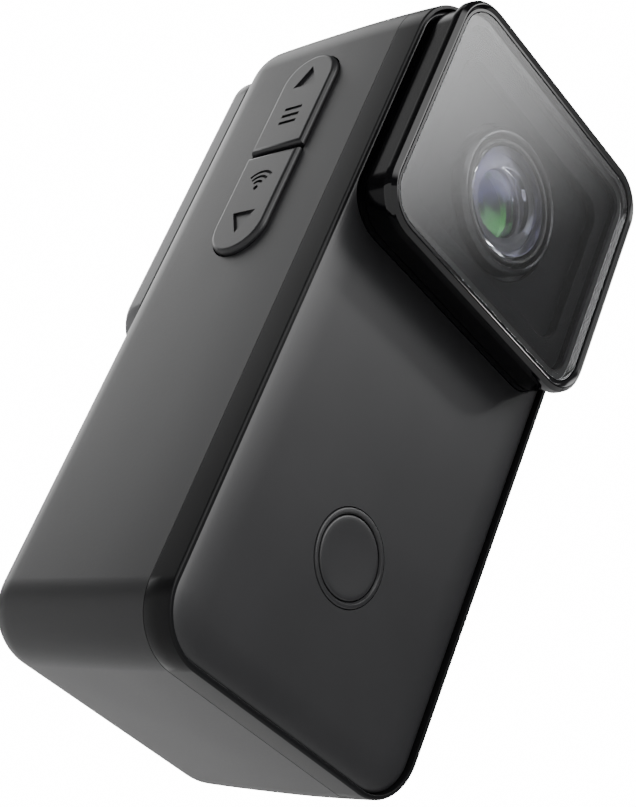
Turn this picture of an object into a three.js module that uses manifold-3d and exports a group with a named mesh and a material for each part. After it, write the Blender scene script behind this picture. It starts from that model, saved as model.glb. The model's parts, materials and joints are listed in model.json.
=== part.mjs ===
// Thumb-size action camera: a tall rounded body, a square lens head that stands out of its front,
// a screen on the back, a battery door below the screen, and keys on the left side.
// Millimetres. +Z is up, the lens looks along -Y and the side keys are on -X.
// The origin is the middle of the base. "Depth" runs from the body's front plane towards the back.
import * as THREE from 'three';
import { mergeVertices } from 'three/addons/utils/BufferGeometryUtils.js';
import Module from 'manifold-3d';

const wasm = await Module();
wasm.setup();

// ---- driving dimensions ----
const bodyWidth = 28;
const bodyHeight = 60.4;
const bodyDepth = 21.2;
const cornerLow = 4.7;        // corner radius of the front outline at the base
const cornerHigh = 6;         // and at the top
const rearFillet = 3.5;       // rounding of the edge all round the back
const wall = 1.5;             // main shell wall
const frameDepth = 2.5;       // front frame, from the front plane back
const frameDraft = 0.2;       // how far the frame narrows at its front edge
const seam = 0.1;             // visible gap between fixed covers
const running = 0.3;          // gap round pieces that move

const coverInset = 0.6;       // front cover outline, inside the body outline
const coverThickness = 0.9;
const frameLedge = 0.8;       // ledge at the back of the front frame, under the cover

const headProud = 3.7;        // lens head, in front of the body
const headHeight = 23;
const headTopGap = 1.2;       // head top below body top
const headInset = 0.7;        // head outline, inside the body width
const headCorner = 3.75;
const neckInset = 0.35;       // neck outline, inside the head outline
const bezelWidth = 1;
const bezelDepth = 1;
const glassRecess = 0.25;
const glassThickness = 0.8;
const neckWall = 1.55;
const neckFloor = 1.2;

const lensRadius = 4.55;      // front lens element
const barrelRadius = 5.2;
const barrelBore = 4.7;
const smallBore = 3.9;
const holderWall = 1.2;
const collarRadius = 6.2;
const sensorBoardHalf = 7.8;

const screenProud = 1.3;      // screen module, behind the body's back plane
const screenInset = 1.1;      // module half width, inside the body's half width
const screenTopGap = 2.8;
const screenDoorGap = 1.2;
const screenCorner = 3.5;
const screenSink = 0.8;       // how deep the module sits in the back wall
const screenRim = 1;

const buttonHeight = 14.4;    // record button centre above the base
const buttonRadius = 3.15;
const buttonRingRadius = 3.7;
const buttonTravel = 0.4;

const keyTopGap = 6.2;        // upper end of the side keys, below the body top
const keyLength = 20.9;       // both keys together
const keyWidth = 5.8;
const keyDepth = 10.25;       // centre of the keys behind the front plane
const keyProud = 0.5;
const keySplit = 0.45;
const keyTravel = 0.4;

const doorMargin = 0.6;       // door beyond the battery bay, at the sides
const doorBottom = 4.2;       // hinge axis height
const doorThickness = 1.4;
const knuckleRadius = 1.2;
const pinRadius = 0.4;
const latchTravel = 1.2;

const batterySize = { x: 18.8, y: 12, z: 19.6 };
const trayWall = 0.7;
const trayFloorDepth = 4.2;
const mainBoardGap = 5.8;     // main board face in front of the body's back plane
const mainBoardThickness = 1;
const portBoardThickness = 0.8;
const socketMiddleDepth = 8.9;
const usbSize = { long: 8.94, short: 3.2, deep: 7.3 };
const cardSize = { x: 15, y: 11, z: 1 };

// ---- positions worked out from them ----
const half = bodyWidth / 2;
const bodyFront = headProud - (headProud + bodyDepth + screenProud) / 2;
const at = (depth) => bodyFront + depth;
const headTop = bodyHeight - headTopGap;
const headBottom = headTop - headHeight;
const headHalf = half - headInset;
const lensZ = (headTop + headBottom) / 2;
const glassFront = -headProud + glassRecess;
const glassBack = glassFront + glassThickness;
const neckFront = -headProud + bezelDepth + 0.05;
const sealThickness = 0.3;
const sealBack = glassBack + 0.05 + sealThickness;
const bayHalf = batterySize.x / 2 + 0.2;
const bayBottom = doorBottom + knuckleRadius + 0.5;
const bayTop = bayBottom + batterySize.z + 0.4;
const trayTop = bayTop + trayWall;
const doorHalf = bayHalf + doorMargin;
const doorTop = bayTop + 0.5;
const screenTop = bodyHeight - screenTopGap;
const screenBottom = doorTop + screenDoorGap;
const screenHalf = half - screenInset;
const screenFloor = bodyDepth - screenSink;
const hingeY = at(bodyDepth - knuckleRadius);
const innerX = half - wall;
const keyHeight = bodyHeight - keyTopGap - keyLength / 2;
const mainBoardDepth = bodyDepth - mainBoardGap;
const holderFlangeHalf = sensorBoardHalf - 0.4;
const portBoardHeight = (trayTop + lensZ - holderFlangeHalf) / 2 - 0.15;

// ---- solids ----
const colours = {
  shell: [0x1b1b1d, 0.5, 0],
  frame: [0x151517, 0.45, 0],
  gloss: [0x060607, 0.08, 0],
  glass: [0x15171c, 0.03, 0],
  rubber: [0x101011, 0.9, 0],
  steel: [0x9a9a9c, 0.35, 1],
  board: [0x14391f, 0.6, 0],
  chip: [0x111113, 0.6, 0],
  label: [0x3a4046, 0.6, 0],
  contact: [0xb89a55, 0.35, 1],
};

// A closed body from any closed geometry: shared corners merged, faces pointing out.
function solid(geometry) {
  let bare = geometry.index ? geometry.toNonIndexed() : geometry.clone();
  bare.deleteAttribute('normal');
  bare.deleteAttribute('uv');
  bare = mergeVertices(bare, 1e-4);
  const p = bare.attributes.position;
  const index = Array.from(bare.index.array);
  const corners = [new THREE.Vector3(), new THREE.Vector3(), new THREE.Vector3()];
  let volume = 0;
  for (let i = 0; i < index.length; i += 3) {
    corners.forEach((v, k) => v.fromBufferAttribute(p, index[i + k]));
    volume += corners[0].dot(corners[1].cross(corners[2]));
  }
  if (volume < 0) {
    index.reverse();
  }
  const mesh = new wasm.Mesh({
    numProp: 3,
    vertProperties: new Float32Array(p.array),
    triVerts: new Uint32Array(index),
  });
  return new wasm.Manifold(mesh);
}

const join = (...pieces) => pieces.reduce((a, b) => a.add(b));
const cut = (piece, ...tools) => tools.reduce((a, b) => a.subtract(b), piece);

function box(x0, x1, y0, y1, z0, z1) {
  const geometry = new THREE.BoxGeometry(x1 - x0, y1 - y0, z1 - z0);
  geometry.translate((x0 + x1) / 2, (y0 + y1) / 2, (z0 + z1) / 2);
  return solid(geometry);
}

// A box given by half width, depths and heights.
const block = (halfWidth, d0, d1, z0, z1) => box(-halfWidth, halfWidth, at(d0), at(d1), z0, z1);

// A round bar along an axis, from one place to another on it, at (u, v) on the other two.
function bar(axis, radius, from, to, u, v, sides = 24) {
  const geometry = new THREE.CylinderGeometry(radius, radius, to - from, sides);
  const middle = (from + to) / 2;
  if (axis === 'x') {
    geometry.rotateZ(Math.PI / 2);
    geometry.translate(middle, u, v);
  } else if (axis === 'y') {
    geometry.translate(u, middle, v);
  } else {
    geometry.rotateX(Math.PI / 2);
    geometry.translate(u, v, middle);
  }
  return solid(geometry);
}

// A turned piece on the lens axis, from a profile of [radius, depth] points.
function turned(profile, sides = 32) {
  const points = profile.map(([radius, depth]) => new THREE.Vector2(radius, at(depth)));
  const geometry = new THREE.LatheGeometry(points, sides);
  geometry.translate(0, 0, lensZ);
  return solid(geometry);
}

// A turned ring of square section on the lens axis.
const ring = (inner, outer, d0, d1) => turned([
  [inner, d0], [outer, d0], [outer, d1], [inner, d1], [inner, d0],
]);

// A sphere cap profile from the axis out to the rim; a negative rise is hollow.
function capProfile(radius, depth, rise, steps = 6) {
  const sphere = (radius * radius + rise * rise) / (2 * Math.abs(rise));
  const points = [];
  for (let i = 0; i <= steps; i += 1) {
    const r = (radius * i) / steps;
    const drop = sphere - Math.sqrt(sphere * sphere - r * r);
    points.push([r, depth + Math.sign(rise) * drop]);
  }
  return points;
}

// Front view outline: straight sides, one corner radius below and one above.
function outline(halfWidth, z0, z1, low, high = low) {
  const shape = new THREE.Shape();
  shape.moveTo(-halfWidth + low, z0);
  shape.lineTo(halfWidth - low, z0);
  shape.absarc(halfWidth - low, z0 + low, low, -Math.PI / 2, 0);
  shape.lineTo(halfWidth, z1 - high);
  shape.absarc(halfWidth - high, z1 - high, high, 0, Math.PI / 2);
  shape.lineTo(-halfWidth + high, z1);
  shape.absarc(-halfWidth + high, z1 - high, high, Math.PI / 2, Math.PI);
  shape.lineTo(-halfWidth, z0 + low);
  shape.absarc(-halfWidth + low, z0 + low, low, Math.PI, 1.5 * Math.PI);
  return shape;
}

// The body's own outline, moved in all round.
const bodyOutline = (inset) => outline(
  half - inset, inset, bodyHeight - inset,
  Math.max(cornerLow - inset, 0.4), Math.max(cornerHigh - inset, 0.4),
);
const headOutline = (inset) => outline(
  headHalf - inset, headBottom + inset, headTop - inset, Math.max(headCorner - inset, 0.4),
);
const screenOutline = (inset) => outline(
  screenHalf - inset, screenBottom + inset, screenTop - inset, screenCorner - inset,
);

// A plate cut from a front view outline, between two depths.
function plate(shape, d0, d1) {
  const geometry = new THREE.ExtrudeGeometry(shape, {
    depth: d1 - d0,
    bevelEnabled: false,
    curveSegments: 5,
  });
  geometry.rotateX(Math.PI / 2);
  geometry.translate(0, at(d1), 0);
  return solid(geometry);
}

// A stack of outlines [depth, shape], each with the same number of points, closed at both ends.
function loft(sections) {
  const rings = sections.map(([depth, shape]) => {
    const points = shape.getPoints(3);
    const apart = (p, i) => p.distanceTo(points[(i + 1) % points.length]) > 1e-5;
    return points.filter(apart).map((p) => [p.x, at(depth), p.y]);
  });
  const count = rings[0].length;
  const positions = rings.flat(2);
  const index = [];
  for (let s = 0; s + 1 < rings.length; s += 1) {
    for (let i = 0; i < count; i += 1) {
      const a = s * count + i;
      const b = s * count + ((i + 1) % count);
      index.push(a, b, b + count, a, b + count, a + count);
    }
  }
  const last = (rings.length - 1) * count;
  for (let i = 1; i + 1 < count; i += 1) {
    index.push(0, i + 1, i);
    index.push(last, last + i, last + i + 1);
  }
  const geometry = new THREE.BufferGeometry();
  geometry.setAttribute('position', new THREE.Float32BufferAttribute(positions, 3));
  geometry.setIndex(index);
  return solid(geometry);
}

// The body with its rounded back, moved in all round, from a depth to its back.
function bodyBlock(inset, from, steps = 5) {
  const fillet = rearFillet - inset;
  const start = bodyDepth - rearFillet;
  const sections = [[from, bodyOutline(inset)]];
  for (let i = 0; i <= steps; i += 1) {
    const turn = (Math.PI / 2) * (i / steps);
    const depth = start + fillet * Math.sin(turn);
    sections.push([depth, bodyOutline(inset + fillet * (1 - Math.cos(turn)))]);
  }
  return loft(sections);
}

// A flat bar with round ends, along Y or Z, between two places on X.
function pill(x0, x1, y, z, alongY, alongZ) {
  const r = Math.min(alongY, alongZ) / 2;
  const shape = new THREE.Shape();
  const a = alongY / 2 - r;
  const b = alongZ / 2 - r;
  shape.absarc(a, b, r, 0, Math.PI / 2);
  shape.absarc(-a, b, r, Math.PI / 2, Math.PI);
  shape.absarc(-a, -b, r, Math.PI, 1.5 * Math.PI);
  shape.absarc(a, -b, r, 1.5 * Math.PI, 2 * Math.PI);
  const geometry = new THREE.ExtrudeGeometry(shape, {
    depth: x1 - x0,
    bevelEnabled: false,
    curveSegments: 6,
  });
  geometry.rotateX(Math.PI / 2);
  geometry.rotateZ(Math.PI / 2);
  geometry.translate(x0, y, z);
  return solid(geometry);
}

const camera = new THREE.Group();

function addNode(name, manifold, colour) {
  const { vertProperties, triVerts } = manifold.getMesh();
  const geometry = new THREE.BufferGeometry();
  geometry.setAttribute('position', new THREE.BufferAttribute(new Float32Array(vertProperties), 3));
  geometry.setIndex(new THREE.BufferAttribute(new Uint32Array(triVerts), 1));
  const [color, roughness, metalness] = colours[colour];
  const mesh = new THREE.Mesh(geometry, new THREE.MeshStandardMaterial({ color, roughness, metalness }));
  mesh.name = name;
  camera.add(mesh);
}

// ---- casing ----
const frameScrews = [-1, 1].flatMap((side) => [
  { x: side * (half - 3.6), z: 3.3 },
  { x: side * (half - 3.1), z: trayTop + 1.6 },
]);
const boardScrews = [
  { x: -(innerX - 2.3), z: screenBottom + 3.2 },
  { x: innerX - 2.3, z: screenTop - 2.9 },
];
const screwShank = 0.5;
const screwHead = 1;
const screwHole = 0.8;
const bossRadius = 1.4;
const bossLength = 1.6;
const usbZ = portBoardHeight - 0.1 - usbSize.short / 2;
const cardZ = portBoardHeight + portBoardThickness + 0.55 + cardSize.z / 2;
const cardOuterX = half - 0.3;
const microphonePlace = { x: 6.6, depth: 13 };
const lightPlace = { x: -6.6, depth: 13 };
const lightRadius = 0.9;
const latchTongueHalf = 2.5;
const speakerMiddleDepth = 9.5;
const speakerSlots = [0, 1, 2, 3, 4].map((i) => lensZ - 4 + 2 * i);

function frameOpening() {
  const ledge = 4.8;
  return outline(half - ledge, ledge, headBottom + 3, 1.5);
}

function makeMainShell() {
  let shell = bodyBlock(0, frameDepth).subtract(bodyBlock(wall, frameDepth - 1));
  for (const { x, z } of frameScrews) {
    const boss = join(
      bar('y', bossRadius, at(frameDepth), at(frameDepth + bossLength), x, z, 16),
      box(Math.min(x, Math.sign(x) * (innerX + 0.3)), Math.max(x, Math.sign(x) * (innerX + 0.3)),
        at(frameDepth), at(frameDepth + bossLength), z - 0.6, z + 0.6),
    );
    shell = shell.add(boss);
  }
  for (const { x, z } of boardScrews) {
    const back = bodyDepth - wall + 0.1;
    shell = shell.add(bar('y', bossRadius, at(mainBoardDepth + mainBoardThickness), at(back), x, z, 16));
  }
  for (const side of [-1, 1]) {
    const near = side * (doorHalf + running);
    const far = side * (innerX - 0.1);
    const lump = box(Math.min(near, far), Math.max(near, far),
      hingeY - 1.5, hingeY + 1, doorBottom - 1.4, doorBottom + 1.6);
    shell = shell.add(lump.intersect(bodyBlock(0.4, frameDepth)));
  }
  const rear = bodyDepth + 1;
  const openings = [
    // seat of the screen module, and the window behind the display
    plate(screenOutline(-0.15), screenFloor, rear),
    block(screenHalf - 3.6, bodyDepth - wall - 1, rear, screenBottom + 5, screenTop - 5),
    // battery bay mouth, from under the hinge to above the door
    block(doorHalf + running, bodyDepth - wall - 1.4, rear,
      doorBottom - knuckleRadius - running, doorTop + running),
    // keeper slot of the latch
    block(latchTongueHalf + running, bodyDepth - 1.05, bodyDepth - 0.2, doorTop, screenBottom + 0.05),
    // hinge pin ends
    bar('x', pinRadius + 0.15, -doorHalf - 1.6, doorHalf + 1.6, hingeY, doorBottom, 16),
    // side keys
    pill(-half - 1, -innerX + 1, at(keyDepth), keyHeight, keyWidth + 2 * running, keyLength + 2 * running),
    // side sockets
    pill(innerX - 1, half + 1, at(socketMiddleDepth), usbZ, usbSize.long + 0.4, usbSize.short + 0.4),
    box(innerX - 1, half + 1, at(socketMiddleDepth) - cardSize.y / 2 - running,
      at(socketMiddleDepth) + cardSize.y / 2 + running, cardZ - 0.8, cardZ + 0.8),
    // microphone and light in the top
    bar('z', 0.5, bodyHeight - wall - 1, bodyHeight + 1, microphonePlace.x, at(microphonePlace.depth), 12),
    bar('z', lightRadius + 0.15, bodyHeight - wall - 1, bodyHeight + 1,
      lightPlace.x, at(lightPlace.depth), 16),
  ];
  for (const z of speakerSlots) {
    openings.push(pill(innerX - 1, half + 1, at(speakerMiddleDepth), z, 4.2, 0.8));
  }
  for (const { x, z } of frameScrews) {
    openings.push(bar('y', screwHole, at(frameDepth - 1), at(frameDepth + bossLength + 1), x, z, 12));
  }
  for (const { x, z } of boardScrews) {
    openings.push(bar('y', screwHole, at(mainBoardDepth), at(bodyDepth - wall - 0.4), x, z, 12));
  }
  return cut(shell, ...openings);
}

function makeFrontFrame() {
  const frame = loft([[0, bodyOutline(frameDraft)], [frameDepth, bodyOutline(0)]]);
  const seat = frameDepth - frameLedge;
  const tools = [
    plate(bodyOutline(coverInset - seam), -1, seat),
    plate(frameOpening(), seat - 0.1, frameDepth + 1),
    plate(headOutline(neckInset - running), -1, frameDepth + 1),
  ];
  for (const { x, z } of frameScrews) {
    tools.push(bar('y', screwHole, at(seat - 0.5), at(frameDepth + 0.5), x, z, 12));
  }
  return cut(frame, ...tools);
}

function makeFrontCover() {
  return cut(
    plate(bodyOutline(coverInset), seam, seam + coverThickness),
    plate(headOutline(neckInset - seam), -1, frameDepth),
    bar('y', buttonRingRadius + seam, at(-1), at(frameDepth), 0, buttonHeight, 32),
  );
}

addNode('main_shell', makeMainShell(), 'shell');
addNode('front_frame', makeFrontFrame(), 'frame');
addNode('front_cover', makeFrontCover(), 'shell');
frameScrews.forEach(({ x, z }, i) => {
  const under = frameDepth - frameLedge;
  const screw = join(
    bar('y', screwHead, at(under - 0.55), at(under), x, z, 16),
    bar('y', screwShank, at(under - 0.1), at(frameDepth + bossLength), x, z, 12),
  );
  addNode(`frame_screw_${i + 1}`, screw, 'steel');
});

// ---- lens head ----
const pocketInset = bezelWidth - 0.15;
const floorFront = frameDepth - 0.1 - neckFloor;
const holderBore = barrelRadius + 0.2;
const holderRadius = holderBore + holderWall;
const maskDepth = -1.9;
const maskStep = { half: 9.9, low: lensZ - 7.4, high: lensZ + 7.4 };

addNode('head_housing', cut(
  plate(headOutline(neckInset), neckFront, frameDepth - 0.1),
  plate(headOutline(pocketInset), neckFront - 1, sealBack),
  plate(headOutline(neckInset + neckWall), sealBack - 0.1, floorFront),
  bar('y', holderRadius + running, at(floorFront - 0.1), at(frameDepth), 0, lensZ, 32),
), 'gloss');

function makeLensBezel() {
  const back = -headProud + bezelDepth;
  const chamfer = 0.55;
  const ringBody = loft([
    [-headProud, headOutline(chamfer)],
    [-headProud + chamfer, headOutline(0)],
    [back, headOutline(0)],
  ]);
  return ringBody.subtract(plate(headOutline(bezelWidth - seam), -headProud - 1, back + 1));
}
addNode('lens_bezel', makeLensBezel(), 'gloss');
addNode('front_glass', plate(headOutline(bezelWidth), glassFront, glassBack), 'glass');
addNode('glass_seal', cut(
  plate(headOutline(bezelWidth), glassBack + 0.05, sealBack),
  plate(headOutline(neckInset + neckWall), glassBack, sealBack + 1),
), 'rubber');
addNode('lens_mask', cut(
  plate(headOutline(neckInset + neckWall + 0.15), maskDepth, maskDepth + 1.4),
  plate(outline(maskStep.half, maskStep.low, maskStep.high, 2), maskDepth - 1, maskDepth + 1),
  bar('y', collarRadius + 0.2, at(maskDepth - 1), at(maskDepth + 2), 0, lensZ, 32),
), 'frame');
addNode('lens_collar', turned([
  [barrelRadius + 0.2, -1.9], [collarRadius - 0.35, -1.9], [collarRadius, -1.4],
  [collarRadius, -0.3], [barrelRadius + 0.2, -0.3], [barrelRadius + 0.2, -1.9],
]), 'gloss');

// ---- optics ----
const frontLensTop = -2.4;
addNode('front_lens', turned([
  ...capProfile(lensRadius, frontLensTop, 0.8),
  [lensRadius, -0.5],
  [3, -0.5],
  ...capProfile(3, -1.4, 0.8).reverse(),
].filter((p, i, all) => i === 0 || p[0] !== all[i - 1][0] || p[1] !== all[i - 1][1])), 'glass');
addNode('lens_barrel', turned([
  [barrelBore, -1.7], [barrelRadius, -1.7], [barrelRadius, 8.5], [smallBore - 0.7, 8.5],
  [smallBore - 0.7, 8], [smallBore, 8], [smallBore, 0.4], [barrelBore - 0.4, 0.4],
  [barrelBore - 0.4, -0.4], [barrelBore, -0.4], [barrelBore, -1.7],
]), 'gloss');
const smallLens = smallBore - 0.1;
addNode('second_lens', turned([
  ...capProfile(smallLens, 0.8, 0.5), [smallLens, 2.4], [0, 2.4],
]), 'glass');
addNode('aperture_disc', ring(1.2, smallLens, 2.7, 2.9), 'frame');
addNode('lens_spacer', ring(smallLens - 0.6, smallLens, 3.2, 5.2), 'frame');
addNode('rear_lens', turned([
  [0, 5.5], [smallLens, 5.5], ...capProfile(smallLens, 7.6, -0.7).reverse(),
]), 'glass');
const holderFlange = { front: 9.4, back: 10.8, half: holderFlangeHalf };
addNode('lens_holder', cut(
  join(
    bar('y', holderRadius, at(0), at(holderFlange.back - 0.1), 0, lensZ, 32),
    block(holderFlange.half, holderFlange.front, holderFlange.back,
      lensZ - holderFlange.half, lensZ + holderFlange.half),
  ),
  bar('y', holderBore, at(-1), at(9.15), 0, lensZ, 32),
  block(4.4, 9, 12, lensZ - 4.4, lensZ + 4.4),
  ...[-1, 1].map((s) => bar('y', screwHole, at(9), at(12), s * 6, lensZ + s * 6, 12)),
), 'frame');
addNode('ir_filter', block(3.6, 8.7, 9, lensZ - 3.6, lensZ + 3.6), 'glass');
const sensorBoardDepth = holderFlange.back + 0.1;
addNode('image_sensor', block(3.9, sensorBoardDepth - 0.8, sensorBoardDepth,
  lensZ - 3.4, lensZ + 3.4), 'chip');
addNode('sensor_board', cut(
  block(sensorBoardHalf, sensorBoardDepth, sensorBoardDepth + 0.8,
    lensZ - sensorBoardHalf, lensZ + sensorBoardHalf),
  ...[-1, 1].map((s) => bar('y', screwHole, at(9), at(14), s * 6, lensZ + s * 6, 12)),
), 'board');
[-1, 1].forEach((s, i) => {
  const seat = sensorBoardDepth + 0.8;
  addNode(`sensor_screw_${i + 1}`, join(
    bar('y', 1.1, at(seat), at(seat + 0.6), s * 6, lensZ + s * 6, 16),
    bar('y', screwShank, at(9.8), at(seat + 0.1), s * 6, lensZ + s * 6, 12),
  ), 'steel');
});

// ---- main board and what it carries ----
const boardBack = mainBoardDepth + mainBoardThickness;
addNode('main_board', cut(
  block(innerX - 1, mainBoardDepth, boardBack, screenBottom + 1, bodyHeight - wall - 1.9),
  ...boardScrews.map(({ x, z }) => bar('y', screwHole, at(mainBoardDepth - 1), at(boardBack + 1), x, z, 12)),
), 'board');
boardScrews.forEach(({ x, z }, i) => {
  addNode(`board_screw_${i + 1}`, join(
    bar('y', screwHead, at(mainBoardDepth - 0.6), at(mainBoardDepth), x, z, 16),
    bar('y', screwShank, at(mainBoardDepth - 0.1), at(boardBack + 2), x, z, 12),
  ), 'steel');
});
addNode('processor_shield', block(6, mainBoardDepth - 1.4, mainBoardDepth, lensZ - 6, lensZ + 6), 'steel');
addNode('heat_spreader', block(innerX - 4, boardBack + 0.3, boardBack + 0.8,
  screenBottom + 4, screenTop - 4), 'contact');
addNode('wireless_antenna', box(-3, 7, at(4), at(9), bodyHeight - wall - 0.8, bodyHeight - wall - 0.4),
  'contact');
addNode('microphone', box(microphonePlace.x - 1.5, microphonePlace.x + 1.5,
  at(microphonePlace.depth - 1.1), at(microphonePlace.depth + 1.1),
  bodyHeight - wall - 2.4, bodyHeight - wall - 0.3), 'steel');
addNode('status_light_guide', join(
  bar('z', lightRadius, bodyHeight - wall - 0.6, bodyHeight - 0.05, lightPlace.x, at(lightPlace.depth), 16),
  box(lightPlace.x - 1.5, lightPlace.x + 1.5, at(lightPlace.depth - 1.1), at(lightPlace.depth + 1.1),
    bodyHeight - wall - 1.6, bodyHeight - wall - 0.3),
), 'label');

// ---- side sockets ----
const socketY = at(socketMiddleDepth);
addNode('port_board', box(-4, innerX - 0.2, socketY - 4.9, socketY + 5.6,
  portBoardHeight, portBoardHeight + portBoardThickness), 'board');
function makeUsbPort() {
  const mouth = half - 0.3;
  const back = mouth - usbSize.deep;
  const skin = 0.3;
  const outer = pill(back, mouth, socketY, usbZ, usbSize.long, usbSize.short);
  const inner = pill(back + 0.8, mouth + 1, socketY, usbZ, usbSize.long - 2 * skin, usbSize.short - 2 * skin);
  const tongue = box(back + 0.4, mouth - 1, socketY - 3.3, socketY + 3.3, usbZ - 0.35, usbZ + 0.35);
  return join(outer.subtract(inner), tongue);
}
addNode('usb_port', makeUsbPort(), 'steel');
function makeCardSocket() {
  const y0 = socketY - cardSize.y / 2;
  const y1 = socketY + cardSize.y / 2;
  const inner = cardOuterX - cardSize.x - 1.2;
  const low = portBoardHeight + portBoardThickness;
  const body = box(inner - 0.5, innerX - 0.2, y0 - 0.6, y1 + 0.6, low, cardZ + cardSize.z / 2 + 0.6);
  const slot = box(inner, innerX + 1, y0 - 0.2, y1 + 0.2,
    cardZ - cardSize.z / 2 - 0.2, cardZ + cardSize.z / 2 + 0.2);
  return body.subtract(slot);
}
addNode('card_socket', makeCardSocket(), 'steel');
addNode('memory_card', box(cardOuterX - cardSize.x, cardOuterX, socketY - cardSize.y / 2,
  socketY + cardSize.y / 2, cardZ - cardSize.z / 2, cardZ + cardSize.z / 2), 'chip');

// ---- speaker ----
addNode('speaker', box(innerX - 3, innerX - 0.4, at(speakerMiddleDepth - 3), at(speakerMiddleDepth + 3),
  lensZ - 5.5, lensZ + 5.5), 'chip');

// ---- screen module ----
const screenBack = bodyDepth + screenProud;
const screenFront = screenFloor + 0.1;
const screenGlassThickness = 0.8;
const displayHalf = screenHalf - screenRim - 0.4;
function makeScreenBezel() {
  const round = 0.6;
  const body = loft([
    [screenFront, screenOutline(0)],
    [screenBack - round, screenOutline(0)],
    [screenBack - round * 0.3, screenOutline(round * 0.3)],
    [screenBack, screenOutline(round)],
  ]);
  return cut(
    body,
    plate(screenOutline(screenRim - seam), screenBack - screenGlassThickness - seam, screenBack + 1),
    plate(screenOutline(screenRim + 0.3), screenFront - 1, screenBack),
  );
}
addNode('screen_bezel', makeScreenBezel(), 'gloss');
addNode('screen_glass', plate(screenOutline(screenRim),
  screenBack - screenGlassThickness - 0.05, screenBack - 0.05), 'glass');
addNode('display_panel', block(displayHalf, screenFront, screenBack - screenGlassThickness - 0.15,
  screenBottom + 3.9, screenTop - 3.1), 'glass');

// ---- record button ----
const buttonFlange = coverThickness + seam + 0.1;
function makeRecordButton() {
  const cap = bar('y', buttonRadius, at(0.05), at(buttonFlange + 0.1), 0, buttonHeight, 32);
  const flange = bar('y', buttonRadius + 0.35, at(buttonFlange), at(buttonFlange + 0.4), 0, buttonHeight, 32);
  const plunger = bar('y', 0.8, at(buttonFlange + 0.3), at(buttonFlange + 0.8), 0, buttonHeight, 12);
  return join(cap, flange, plunger);
}
addNode('record_button', makeRecordButton(), 'shell');
addNode('record_button_ring', cut(
  bar('y', buttonRingRadius, at(0), at(buttonFlange - 0.15), 0, buttonHeight, 32),
  bar('y', buttonRadius + 0.15, at(-1), at(frameDepth), 0, buttonHeight, 32),
), 'gloss');
const switchFront = buttonFlange + 0.8 + buttonTravel + 0.1;
addNode('record_switch', block(2.2, switchFront, trayFloorDepth - 0.1,
  buttonHeight - 2.2, buttonHeight + 2.2), 'steel');

// ---- side keys ----
const keyFlangeX = -innerX + 0.1;
const keySwitchOffset = keyLength / 4;
function makeKey(side) {
  const cap = pill(-half - keyProud, keyFlangeX + 0.1, at(keyDepth), keyHeight, keyWidth, keyLength);
  const flange = pill(keyFlangeX, keyFlangeX + 0.4, at(keyDepth), keyHeight, keyWidth + 1.4, keyLength + 1.4);
  const plunger = box(keyFlangeX + 0.3, keyFlangeX + 0.6, at(keyDepth) - 0.8, at(keyDepth) + 0.8,
    keyHeight + side * keySwitchOffset - 0.8, keyHeight + side * keySwitchOffset + 0.8);
  const near = keyHeight + side * (keySplit / 2);
  const far = keyHeight + side * keyLength;
  const keep = box(-half - 2, -innerX + 2, at(keyDepth - 6), at(keyDepth + 6),
    Math.min(near, far), Math.max(near, far));
  return join(cap, flange, plunger).intersect(keep);
}
addNode('upper_key', makeKey(1), 'shell');
addNode('lower_key', makeKey(-1), 'shell');
const keySealX = keyFlangeX + 0.6 + keyTravel + 0.1;
addNode('side_key_seal', pill(keySealX, keySealX + 0.3, at(keyDepth), keyHeight,
  keyWidth + 1.4, keyLength + 1.4), 'rubber');
const keySwitchX = keySealX + 0.4;
const keySwitchDeep = 0.9;
for (const [name, side] of [['upper_key_switch', 1], ['lower_key_switch', -1]]) {
  const z = keyHeight + side * keySwitchOffset;
  addNode(name, box(keySwitchX, keySwitchX + keySwitchDeep, at(keyDepth) - 1.6, at(keyDepth) + 1.6,
    z - 1.6, z + 1.6), 'steel');
}
addNode('key_board', box(keySwitchX + keySwitchDeep, keySwitchX + keySwitchDeep + 0.6,
  at(keyDepth) - 2.6, at(keyDepth) + 2.6, keyHeight - keyLength / 2 + 1.4, keyHeight + keyLength / 2 - 1.4),
  'board');

// ---- battery and its bay ----
const batteryFront = trayFloorDepth + trayWall + 0.2;
const batteryBack = batteryFront + batterySize.y;
const contactDepth = { front: batteryFront + 1, back: batteryFront + 3.4 };
addNode('battery_tray', cut(
  block(bayHalf + trayWall, trayFloorDepth, bodyDepth - doorThickness - 0.6,
    bayBottom - trayWall, bayTop + trayWall),
  block(bayHalf, trayFloorDepth + trayWall, bodyDepth, bayBottom, bayTop),
  block(3.4, contactDepth.front, contactDepth.back, bayTop - 1, bayTop + 2),
), 'frame');
addNode('battery', block(batterySize.x / 2, batteryFront, batteryBack,
  bayBottom + 0.1, bayBottom + 0.1 + batterySize.z), 'label');
addNode('battery_contacts', join(
  block(4.2, contactDepth.front - 0.4, contactDepth.back + 0.4, bayTop + trayWall, bayTop + trayWall + 0.8),
  ...[-2.3, 0, 2.3].map((x) => box(x - 0.3, x + 0.3, at(contactDepth.front + 0.4),
    at(contactDepth.back - 0.4), bayTop - 0.15, bayTop + trayWall + 0.1)),
), 'contact');
addNode('battery_pull_tab', join(
  box(-3, 3, at(batteryBack), at(batteryBack + 0.25), bayBottom + 6, bayTop - 1),
  box(-3, 3, at(batteryBack + 0.2), at(batteryBack + 1.4), bayBottom + 6, bayBottom + 6.3),
), 'rubber');

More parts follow.
